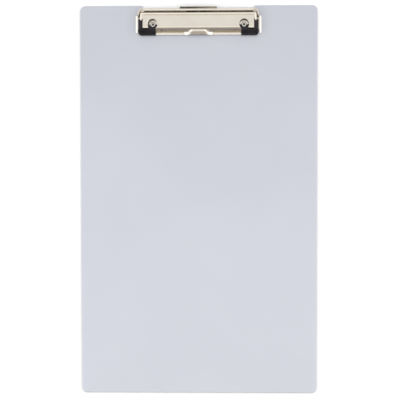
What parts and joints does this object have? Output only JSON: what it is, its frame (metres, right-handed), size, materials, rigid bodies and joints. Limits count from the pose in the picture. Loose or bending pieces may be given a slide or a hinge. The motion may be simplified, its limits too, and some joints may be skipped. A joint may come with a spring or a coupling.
{
  "type": "clipboard",
  "caption": "Legal-size sheet-metal clipboard with a low sprung clip, rubber corner grips and a pull-out hanging hook.",
  "frame": {"origin": "centre of the board's outline, on its back face", "axes": "+X across the board to the right, +Y up the board towards the clip, +Z out of the board's front face"},
  "size_m": [0.24, 0.394, 0.0117],
  "materials": {
    "board_aluminium": "satin anodised",
    "plated_steel": "bright nickel plate",
    "rivet_steel": "bright nickel plate",
    "pin_steel": "drawn wire",
    "grip_rubber": "moulded matt",
    "spring_steel": "drawn wire",
    "hook_steel": "bright nickel plate"
  },
  "bodies": {
    "base": {"board": "board_aluminium", "base_plate": "plated_steel", "rivets": "rivet_steel", "hinge_pin": "pin_steel", "torsion_spring_left": "spring_steel", "torsion_spring_right": "spring_steel"},
    "jaw": {"jaw_plate": "plated_steel", "corner_grip_left": "grip_rubber", "corner_grip_right": "grip_rubber"},
    "hook": {"hanging_hook": "hook_steel"}
  },
  "joints": [
    {"name": "jaw_hinge", "type": "hinge", "parent": "base", "child": "jaw", "pos_m": [0, 0.1872, 0.0063], "axis": [-1, 0, 0], "range_deg": [0, 40], "stiffness_Nm_per_rad": 0.25, "springref_deg": -68.75, "deforming": ["torsion_spring_left", "torsion_spring_right"]},
    {"name": "hook_slide", "type": "slide", "parent": "base", "child": "hook", "axis": [0, 1, 0], "range_m": [0, 0.014]}
  ]
}
